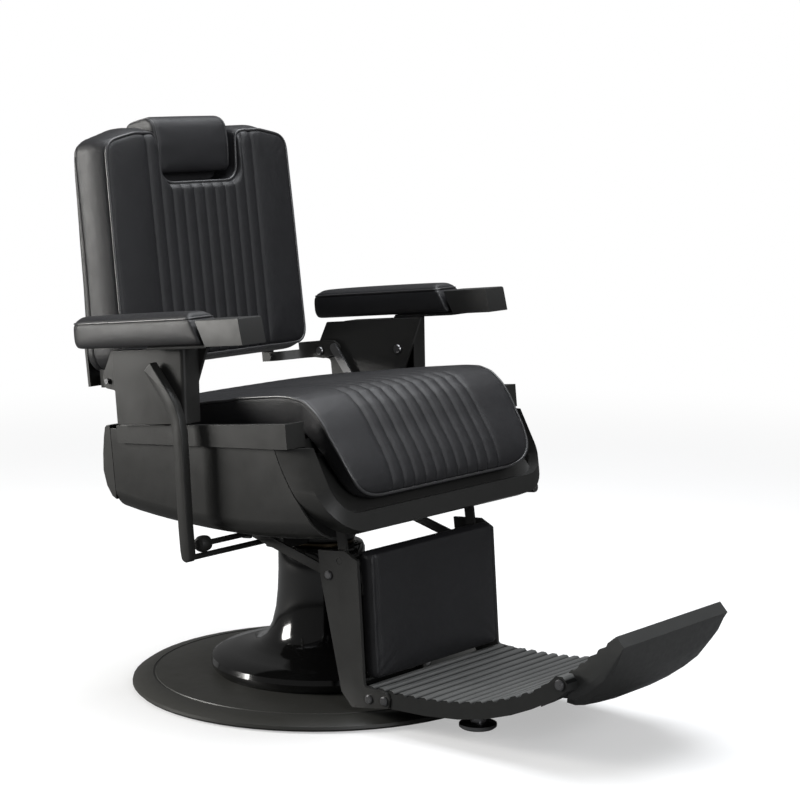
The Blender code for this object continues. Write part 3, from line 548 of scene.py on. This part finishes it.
def piping(name, cover, path, unit, mats, body, radius=PIPING_R, lift=0.7):
    """A closed round of piping laid on a finished cover, along a path in the unit's own mm."""
    start = [unit @ (Vector(p) * MM) for p in path]
    places = resample(start, 5 * MM, closed=True)
    places = smoothed(on_surface(surface_tree(cover), places, radius * lift * MM))
    curve = bpy.data.curves.new(name, "CURVE")
    curve.dimensions = "3D"
    curve.bevel_depth = radius * MM
    curve.bevel_resolution = 4
    curve.use_fill_caps = True
    spline = curve.splines.new("POLY")
    spline.points.add(len(places) - 1)
    for point, place in zip(spline.points, places):
        point.co = (*place, 1.0)
    spline.use_cyclic_u = True
    curve.materials.append(mats["piping"])
    obj = new_object(name, curve)
    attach(obj, body)


# A stitch's sections along its length: the share of the length, then the rise of the middle
# and half the section's width, both as shares of the thread's width.
STITCH_SECTIONS = ((-0.5, -0.2, 0.5), (-0.25, 0.45, 1.0), (0.25, 0.45, 1.0), (0.5, -0.2, 0.5))


def stitches(name, cover, paths, unit, mats, body, pitch=5.0, length=4.2, width=0.8):
    """Rows of separate thread stitches sunk a little into a cover, as one piece."""
    tree = surface_tree(cover)
    bm = bmesh.new()
    for path in paths:
        start = [unit @ (Vector(p) * MM) for p in path]
        places = resample(start, pitch * MM)
        for a, b in zip(places, places[1:]):
            spot, normal, _, _ = tree.find_nearest((a + b) / 2.0)
            run = (b - a).normalized()
            run = (run - normal * run.dot(normal)).normalized()
            across = normal.cross(run)
            ring = []
            for along, rise, half in STITCH_SECTIONS:
                mid = spot + run * (along * length * MM) + normal * (rise * width * MM)
                ring.append([bm.verts.new(mid + across * (s * half * width * MM)
                                          - normal * (d * width * MM))
                             for s, d in ((-1, 1.0), (0, 0.0), (1, 1.0), (0, 1.6))])
            for low, high in zip(ring, ring[1:]):
                for k in range(4):
                    m = (k + 1) % 4
                    bm.faces.new((low[k], low[m], high[m], high[k]))
            bm.faces.new(ring[0])
            bm.faces.new(ring[-1][::-1])
    bmesh.ops.recalc_face_normals(bm, faces=bm.faces)
    obj = new_object(name, to_mesh(name, bm, 1.0))
    obj.data.materials.append(mats["thread"])
    obj.data.shade_smooth()
    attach(obj, body)


def ramp(value, start, run):
    """How far value is past start, as a share of run, held between 0 and 1."""
    return np.clip((value - start) / run, 0.0, 1.0)


def near_sewn_line(x, pitch, share):
    """Which points lie within a share of the pitch of a channel's sewn line."""
    return np.abs(x / pitch - np.round(x / pitch)) < share


def crease_depth(distance, depth, width):
    """Relief of a pressed-in seam: -depth at the seam, gone by about twice its width."""
    return -depth * np.exp(-(distance / width) ** 2)


def channel_relief(x, pitch, rise):
    """Relief of the padded channels: -rise on each sewn line and none midway between two
    lines, with a short fade past the outermost lines."""
    edge = pitch * CHANNELS / 2.0
    phase = np.abs(((x / pitch) % 1.0) - 0.5) * 2.0
    inside = (1.0 - phase ** 2.6) * rise
    outside = rise * (1.0 - np.exp(-(np.abs(x) - edge) / 5.0))
    return np.where(np.abs(x) <= edge, inside, np.maximum(outside, 0.0)) - rise


def path_distance(points, path):
    """Distance from each point to a polyline of closely spaced points."""
    path = np.array(path)
    best = np.full(len(points), 1e9)
    for spot in path:
        np.minimum(best, ((points - spot) ** 2).sum(axis=1), out=best)
    return np.sqrt(best)


# ---------------------------------------------------------------- seat cushion

# Along the side piping, from the rear over the top and down the front: (v, w), how far the
# crown stands out from it at the middle, the inner skin's (v, w) and the half width.
SEAT_STATIONS = (
    ((225, 12), 0, (225, -20), 252), ((224, 20), 2, (222, -20), 256),
    ((214, 26), 8, (205, -20), 258), ((170, 29), 10, (165, -20), 259),
    ((120, 31), 11, (120, -20), 259), ((29, 34), 11, (29, -20), 259),
    ((-64, 41), 7, (-60, -20), 259), ((-139, 43), 4.5, (-130, -20), 259),
    ((-172, 40.5), 4, (-158, -20), 259), ((-199, 32), 3.5, (-180, -24), 258),
    ((-223, 10), 3, (-192, -34), 257), ((-238, -13), 3, (-202, -48), 255.5),
    ((-251, -38), 3, (-216, -66), 253.5), ((-264, -61), 3, (-229, -88), 251),
    ((-275, -84), 3, (-240, -106), 248), ((-282, -104), 2.5, (-249, -122), 242),
    ((-285, -118), 2, (-256, -132), 233), ((-285, -127), 1.5, (-262, -138), 220),
    ((-283, -133), 1, (-266, -142), 202), ((-281, -136), 0, (-270, -144), 180))

BOXING_TAPER = 13.0        # how much narrower the seat's sides are at their inner edge


def seat_ring(station):
    """Closed section across the seat at one station."""
    (v, w), crown, inner, half = station
    outward = (Vector((v, w)) - Vector(inner)).normalized()
    ring = []
    for k in range(4):
        spot = Vector(inner).lerp(Vector((v, w)), k / 4.0)
        ring.append((-half + BOXING_TAPER * (1.0 - k / 4.0), *spot))
    steps = 24
    for k in range(steps + 1):
        t = -1.0 + 2.0 * k / steps
        t = t * (1.5 - 0.5 * t * t)
        rise = crown * (1.0 - abs(t) ** 4.0)
        ring.append((half * t, v + outward.x * rise, w + outward.y * rise))
    for k in range(3, -1, -1):
        spot = Vector(inner).lerp(Vector((v, w)), k / 4.0)
        ring.append((half - BOXING_TAPER * (1.0 - k / 4.0), *spot))
    return ring


def seat_line(x):
    """Path at one x over the crowned top, clear of the rear edge, and down the front."""
    path = []
    for (v, w), crown, inner, half in SEAT_STATIONS[3:]:
        outward = (Vector((v, w)) - Vector(inner)).normalized()
        rise = crown * (1.0 - abs(x / half) ** 4.0)
        path.append((x, v + outward.x * rise, w + outward.y * rise))
    return path


def build_seat_cushion(mats):
    seam = [(-half, v, w) for (v, w), _, _, half in SEAT_STATIONS]
    seam += [(-x, v, w) for x, v, w in reversed(seam)]
    close = resample(seam, SEAM_STEP, closed=True)

    def outer_skin(p):
        return (p[:, 2] > -15) | (p[:, 1] < -235 - 0.35 * (p[:, 2] + 40))

    def held(p):
        lines = near_sewn_line(p[:, 0], SEAT_CHANNEL, 0.085) & outer_skin(p)
        lines &= np.abs(p[:, 0]) < SEAT_CHANNEL * (CHANNELS / 2 + 0.2)
        base = (p[:, 2] < -19.0) & (p[:, 1] > -190)
        return lines | (path_distance(p, close) < SEAM_REACH) | base

    def carve(p, normals):
        facing = ramp(normals[:, 2] * 0.7 - normals[:, 1] * 0.7, 0.15, 0.3)
        fade = ramp(p[:, 1], 212.0, -10.0)
        depth = channel_relief(p[:, 0], SEAT_CHANNEL, CHANNEL_RISE) * facing * fade
        return depth + crease_depth(path_distance(p, close), 1.6, 5.0)

    mesh = to_mesh("seat_cover", loft([seat_ring(s) for s in SEAT_STATIONS]))
    cover = upholstered("seat_cover", mesh, SEAT, mats, SEAT_CHANNEL / 6.0, held, 7.0, carve)
    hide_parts("seat_cushion")
    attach(cover, "seat")
    piping("seat_piping", cover, seam, SEAT, mats, "seat")
    lines = [seat_line(SEAT_CHANNEL * k) for k in range(-5, 6)]
    stitches("seat_stitches", cover, lines, SEAT, mats, "seat")


# ---------------------------------------------------------------- back unit

def back_size():
    """Half width, bottom and top of the back cushion, in the back unit's mm."""
    low, high = extent("back_cushion", BACK)
    return high[0], low[2], high[2]


BACK_NOTCH = (101.0, 354.0, 28.0)      # half width, bottom, corner radius
BACK_NARROWING = 6.0
SEAM_DEPTH = 4.5           # the front seam, behind the front face and in from the sides
SEAM_INSET = 12.5
NOTCH_SCOOP = 16.0         # how much further back the notch's edge is
PANEL_FRONT = 68.4         # where the rear panel's cover starts, behind the front face


def back_outline(half, low, high, inset, notched=True):
    """Back seen from the front, drawn in by an inset: (x, u) points."""
    # Corners (x, u, radius) of the +X half: foot, shoulder, top, and the notch's two.
    top = half - BACK_NARROWING - inset
    right = [(half - inset, low + inset, max(38.0 - inset, 12.0)),
             (top, high - max(24.0 - 0.8 * inset, 12.0) - inset, 30.0),
             (165.0, high - inset, 30.0)]
    if notched:
        notch = BACK_NOTCH[0] + 0.1 * inset
        right += [(notch + 4.0, high - inset, 12.0),
                  (notch - 0.25 * min(inset, SEAM_INSET), BACK_NOTCH[1] - 0.5 * inset,
                   BACK_NOTCH[2])]
    return rounded([(-right[0][0], *right[0][1:]), *right]
                   + [(-x, u, r) for x, u, r in reversed(right[1:])], 7)


def scooped(x, n, u, inset):
    """A point of the back's edge, set further back where it is the headrest notch's edge."""
    inside = ramp(abs(x), 125.0, -15.0) * ramp(u, 325.0, 15.0)
    fade = max(0.0, 1.0 - inset / 26.0) * min(1.0, (68.0 - n) / 30.0)
    return (x, n + NOTCH_SCOOP * inside * fade, u)


def build_back_cushion(mats):
    half, low, high = back_size()
    # How far each ring is behind the front face, and how far it is drawn in.
    stations = ((74.0, 1.5), (71.0, 0.0), (42.0, 0.0), (30.0, 2.0), (19.0, 6.0), (11.0, 9.5),
                (SEAM_DEPTH, SEAM_INSET), (2.0, 17.0), (0.6, 23.0), (0.0, 32.0))
    rings = []
    for n, inset in stations:
        rings.append([scooped(x, n, u, inset) for x, u in back_outline(half, low, high, inset)])
    seam = [scooped(x, SEAM_DEPTH, u, SEAM_INSET)
            for x, u in back_outline(half, low, high, SEAM_INSET)]
    close = resample(seam, SEAM_STEP, closed=True)
    edge = BACK_CHANNEL * CHANNELS / 2.0

    def held(p):
        lines = near_sewn_line(p[:, 0], BACK_CHANNEL, 0.09)
        lines &= (np.abs(p[:, 0]) < edge + 4.0) & (p[:, 1] < 8.0)
        return lines | (path_distance(p, close) < SEAM_REACH) | (p[:, 1] > 64.0)

    def carve(p, normals):
        facing = ramp(-normals[:, 1], 0.35, 0.3)
        depth = channel_relief(p[:, 0], BACK_CHANNEL, CHANNEL_RISE) * facing
        return depth + crease_depth(path_distance(p, close), 1.6, 5.0)

    mesh = to_mesh("back_cover", loft(rings))
    cover = upholstered("back_cover", mesh, BACK, mats, BACK_CHANNEL / 6.0, held, 8.0, carve)
    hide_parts("back_cushion")
    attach(cover, "back")
    piping("back_piping", cover, seam, BACK, mats, "back")
    lines = []
    for k in range(-5, 6):
        x = BACK_CHANNEL * k
        top = high - 14.0 if abs(x) > BACK_NOTCH[0] else BACK_NOTCH[1] - 14.0
        lines.append([(x, 2.0, low + 14.0), (x, 2.0, (low + top) / 2.0), (x, 2.0, top)])
    stitches("back_stitches", cover, lines, BACK, mats, "back")


def build_back_panel(mats):
    half, low, high = back_size()
    deep, shallow = extent("back_panel", BACK)[1][1], 75.0

    def depth_at(x, u):
        """Where the rear face is: shallower upwards, and deeper at the sides than between."""
        beside = ramp(abs(x), 112.0, 25.0)
        rise = (u - low) / (high - low)
        return deep + (shallow - deep) * rise + 7.0 * beside * rise

    rings = []
    for ahead, inset in ((PANEL_FRONT, 3.0), (72.0, 1.0), (75.0, -0.5)):
        rings.append([(x, min(ahead, 35.0 + 0.5 * depth_at(x, u)), u)
                      for x, u in back_outline(half, low, high - 3.0, inset, False)])
    for share, inset in ((0.7, -0.8), (0.88, 2.0), (0.96, 5.0), (1.0, 10.0)):
        rings.append([(x, PANEL_FRONT + share * (depth_at(x, u) - PANEL_FRONT - 1.0), u)
                      for x, u in back_outline(half, low, high - 3.0, inset, False)])
    border = []
    for x, u in back_outline(half - 1.0, low, high - 3.0, 30.0, False):
        border.append((x, depth_at(x, u), u))
    border_close = resample(border, 4.0, closed=True)

    def held(p):
        return (p[:, 1] < 72.0) | (path_distance(p, border_close) < SEAM_REACH)

    def carve(p, normals):
        behind = ramp(normals[:, 1], 0.5, 0.3)
        return crease_depth(path_distance(p, border_close), 2.2, 5.0) * behind

    mesh = to_mesh("back_rear_cover", loft(rings))
    cover = upholstered("back_rear_cover", mesh, BACK, mats, 5.0, held, 5.0, carve)
    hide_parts("back_panel")
    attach(cover, "back")
    stitches("back_rear_stitches", cover, [[*border, border[0]]], BACK, mats, "back", 6.0, 4.0)


def build_headrest(mats):
    """A saddle: its profile runs from under the front pad, over the top and down behind."""
    low, high = extent("headrest_pad", BACK)
    half = high[0] - 3.0
    front, rear, base, top = low[1], high[1], low[2], high[2]
    profile = rounded([(front + 6, base - 7, 10), (front + 1, base + 50, 60),
                       (front + 7, top + 5, 24), (rear + 7, top - 4, 16),
                       (rear + 7, top - 48, 6),
                       (rear - 15, top - 48, 4), (rear - 15, top - 18, 4),
                       (67.5, top - 18, 4), (67.5, base + 2, 6)], 6)
    centre = np.array(profile).mean(axis=0)
    rings = []             # at a share of the half width, shrunk a little towards the ends
    for x, shrink in ((-1.0, 0.86), (-0.98, 0.92), (-0.945, 0.965), (-0.88, 0.99),
                      (0.88, 0.99), (0.945, 0.965), (0.98, 0.92), (1.0, 0.86)):
        rings.append([(half * x, *(centre + (np.array(p) - centre) * shrink))
                      for p in profile])
    seams = []
    for side in (-1.0, 1.0):
        seams.append([(side * (half - 6.0), *(centre + (np.array(p) - centre) * 0.985))
                      for p in profile])
    close = [p for seam in seams for p in resample(seam, SEAM_STEP, closed=True)]

    def held(p):
        return path_distance(p, close) < SEAM_REACH

    def carve(p, normals):
        return crease_depth(path_distance(p, close), 1.4, 4.0)

    mesh = to_mesh("headrest_cover", loft(rings))
    cover = upholstered("headrest_cover", mesh, BACK, mats, 4.2, held, 5.0, carve)
    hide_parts("headrest_pad")
    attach(cover, "headrest")
    for (tag, _), seam in zip(SIDES, seams):
        piping("headrest_piping_" + tag, cover, seam, BACK, mats, "headrest", radius=1.1,
               lift=0.2)


# ---------------------------------------------------------------- arms and leg rest

def arm_outline(low, high, side, inset, front):
    """Arm pad from above, (x, v), with a large rear outer corner."""
    near, far = low[0] + inset, high[0] - inset
    if side < 0:
        near, far = -(high[0] - inset), -(low[0] + inset)
    rear = high[1]
    points = rounded([(near, front), (far, front), (far, rear - 15 - inset, 54),
                      (near, rear - inset, 12)], 9)
    return [(x * side, v) for x, v in points]


def build_arm_pad(mats, tag, side):
    low, high = extent("arm_pad_" + tag, SEAT)
    bottom, top, front = low[2], high[2], low[1]
    # Share of the height, how far the ring is drawn in, and how far back its front is.
    stations = ((0.0, 5.0, 0.0), (0.1, 1.5, 2.5), (0.25, 0.0, 6.0), (0.55, 0.0, 14.0),
                (0.77, 1.0, 21.0), (0.86, 5.0, 25.0), (0.94, 12.0, 29.0), (0.985, 20.0, 33.0))
    rings = []
    for share, inset, back in stations:
        w = bottom + share * (top - bottom)
        rings.append([(x, v, w) for x, v in
                      arm_outline(low, high, side, inset, front + back)])
    seam_w = bottom + 0.8 * (top - bottom)
    seam = [(x, v, seam_w) for x, v in arm_outline(low, high, side, 1.5, front + 22.0)]
    close = resample(seam, SEAM_STEP, closed=True)

    def held(p):
        return (path_distance(p, close) < SEAM_REACH) | (p[:, 2] < bottom + 3.0)

    def carve(p, normals):
        return crease_depth(path_distance(p, close), 1.3, 4.0)

    name = "arm_cover_pad_" + tag
    cover = upholstered(name, to_mesh(name, loft(rings)), SEAT, mats, 4.2, held, 5.0, carve)
    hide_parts("arm_pad_" + tag)
    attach(cover, "seat")
    piping("arm_piping_" + tag, cover, seam, SEAT, mats, "seat", radius=1.8)


def build_calf_pad(mats):
    low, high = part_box("calf_pad")
    low, high = Vector(low) / MM, Vector(high) / MM
    lean, thick, half = 0.066, 30.0, high.x
    base = low.z - 14.0        # the cover reaches lower than the CAD solid

    def face(x, z, out):
        """A point out in front of the leaning board."""
        return (x, high.y + (z - high.z) * lean - out, z)

    rings = []
    for out, inset in ((0.0, 1.0), (4.0, 0.0), (20.0, 0.0), (24.5, 1.0), (27.5, 3.5),
                       (thick - 1.0, 10.0)):
        outline = rounded([(-half + inset, base + inset, 12), (half - inset, base + inset, 12),
                           (half - inset, high.z - inset, 12),
                           (-half + inset, high.z - inset, 12)], 5)
        rings.append([face(x, z, out) for x, z in outline])
    seam = [face(x, z, 24.0) for x, z in rounded(
        [(-half + 1, base + 1, 12), (half - 1, base + 1, 12), (half - 1, high.z - 1, 12),
         (-half + 1, high.z - 1, 12)], 5)]
    close = resample(seam, SEAM_STEP, closed=True)

    def held(p):
        out = high.y + (p[:, 2] - high.z) * lean - p[:, 1]
        return (path_distance(p, close) < SEAM_REACH) | (out < 3.0)

    def carve(p, normals):
        front = ramp(-normals[:, 1], 0.5, 0.3)
        depth = crease_depth(path_distance(p, close), 1.3, 4.5)
        for side in (-1.0, 1.0):
            gap = np.abs(p[:, 0] - side * (half - 11.0))
            depth += crease_depth(gap, 1.2, 3.5) * front
        return depth

    cover = upholstered("calf_cover", to_mesh("calf_cover", loft(rings)), Matrix(), mats, 4.6,
                        held, 6.0, carve)
    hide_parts("calf_pad")
    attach(cover, "leg_rest")
    rows = []
    for side in (-1.0, 1.0):
        for gap in (8.5, 13.5):
            x = side * (half - gap)
            rows.append([face(x, base + 10, thick), face(x, high.z - 10, thick)])
    stitches("calf_stitches", cover, rows, Matrix(), mats, "leg_rest", 5.0, 3.4, 0.7)


# ---------------------------------------------------------------- setting

def area_light(name, place, target, size, energy, colour):
    data = bpy.data.lights.new(name, "AREA")
    data.shape = "RECTANGLE"
    data.size, data.size_y = size
    data.energy = energy
    data.color = colour
    obj = new_object(name, data)
    obj.location = place
    obj.rotation_euler = (Vector(target) - Vector(place)).to_track_quat("-Z", "Y").to_euler()


def build_floor():
    bm = bmesh.new()
    bmesh.ops.create_circle(bm, cap_ends=True, segments=96, radius=30.0)
    mesh = bpy.data.meshes.new("floor")
    bm.to_mesh(mesh)
    bm.free()
    floor = new_object("floor", mesh)
    floor.location.z = -0.0005
    floor.data.materials.append(floor_material())


def floor_material():
    """Pale floor that fades into the white surround, and is dimmer as a source of light."""
    mat = bpy.data.materials.new("floor")
    mat.use_nodes = True
    tree = mat.node_tree
    tree.nodes.clear()
    link = tree.links.new
    place = node(tree, "TexCoord").outputs["Object"]
    reach = node(tree, "VectorMath", operation="LENGTH")
    link(place, reach.inputs[0])
    fade = ranged(tree, reach.outputs["Value"], 0.8, 4.0, kind="SMOOTHSTEP")
    mottle = node(tree, "TexNoise", Scale=3.0, Detail=3.0)
    link(place, mottle.inputs["Vector"])
    tint = node(tree, "Mix", data_type="RGBA")
    tint.inputs["A"].default_value = (0.58, 0.58, 0.58, 1.0)
    tint.inputs["B"].default_value = (0.61, 0.61, 0.61, 1.0)
    link(mottle.outputs["Fac"], tint.inputs["Factor"])
    matt = node(tree, "BsdfDiffuse")
    link(tint.outputs["Result"], matt.inputs["Color"])
    glow = node(tree, "Emission", Color=(1.0, 1.0, 1.0, 1.0), Strength=0.42)
    both = node(tree, "AddShader")
    link(matt.outputs[0], both.inputs[0])
    link(glow.outputs[0], both.inputs[1])
    white = node(tree, "Emission", Color=(1.0, 1.0, 1.0, 1.0), Strength=1.0)
    seen = node(tree, "MixShader")
    link(fade, seen.inputs["Fac"])
    link(both.outputs[0], seen.inputs[1])
    link(white.outputs[0], seen.inputs[2])
    dim = node(tree, "BsdfDiffuse", Color=(0.15, 0.15, 0.15, 1.0))
    path = node(tree, "LightPath")
    pick = node(tree, "MixShader")
    link(path.outputs["Is Camera Ray"], pick.inputs["Fac"])
    link(dim.outputs[0], pick.inputs[1])
    link(seen.outputs[0], pick.inputs[2])
    out = node(tree, "OutputMaterial")
    link(pick.outputs[0], out.inputs["Surface"])
    return mat


def build_world():
    """A pale surround: white behind the chair, dimmer as a source of light."""
    world = bpy.data.worlds.new("studio")
    bpy.context.scene.world = world
    world.use_nodes = True
    tree = world.node_tree
    tree.nodes.clear()
    out = node(tree, "OutputWorld")
    seen = node(tree, "Background", Color=(1.0, 1.0, 1.0, 1.0), Strength=1.0)
    lit = node(tree, "Background", Color=(1.0, 1.0, 1.0, 1.0), Strength=0.11)
    pick = node(tree, "MixShader")
    path = node(tree, "LightPath")
    tree.links.new(path.outputs["Is Camera Ray"], pick.inputs["Fac"])
    tree.links.new(lit.outputs["Background"], pick.inputs[1])
    tree.links.new(seen.outputs["Background"], pick.inputs[2])
    tree.links.new(pick.outputs["Shader"], out.inputs["Surface"])


def build_lights():
    area_light("left_soft", (-2.1, 2.2, 1.25), (-0.2, 0.15, 0.7), (1.1, 1.2), 108.0,
               (1.0, 0.985, 0.95))
    area_light("overhead", (0.5, -0.2, 3.2), (0, 0, 0.4), (2.6, 2.6), 120.0,
               (0.95, 0.97, 1.0))
    area_light("front_fill", (-1.3, -3.3, 1.5), (0, -0.1, 0.45), (1.2, 1.2), 40.0,
               (0.97, 0.98, 1.0))
    area_light("front_strip", (0.55, -2.9, 1.9), (0, -0.1, 0.25), (0.3, 0.9), 10.0,
               (0.95, 0.97, 1.0))


def build_camera():
    data = bpy.data.cameras.new("camera")
    data.lens = 99.48
    data.sensor_width = 36.0
    camera = new_object("camera", data)
    camera.location = (-2.958, -2.673, 1.114)
    camera.rotation_euler = (radians(90.0 - 8.456), 0.0, radians(-49.97))
    bpy.context.scene.camera = camera


def main():
    mats = make_materials()
    build_camera()
    build_world()
    build_floor()
    build_lights()
    dress_cad(mats)
    paint_arm_base_shade(mats)
    build_seat_cushion(mats)
    build_back_cushion(mats)
    build_back_panel(mats)
    build_headrest(mats)
    for tag, side in SIDES:
        build_arm_pad(mats, tag, side)
    build_calf_pad(mats)
    bpy.context.scene.view_settings.view_transform = "Standard"


main()
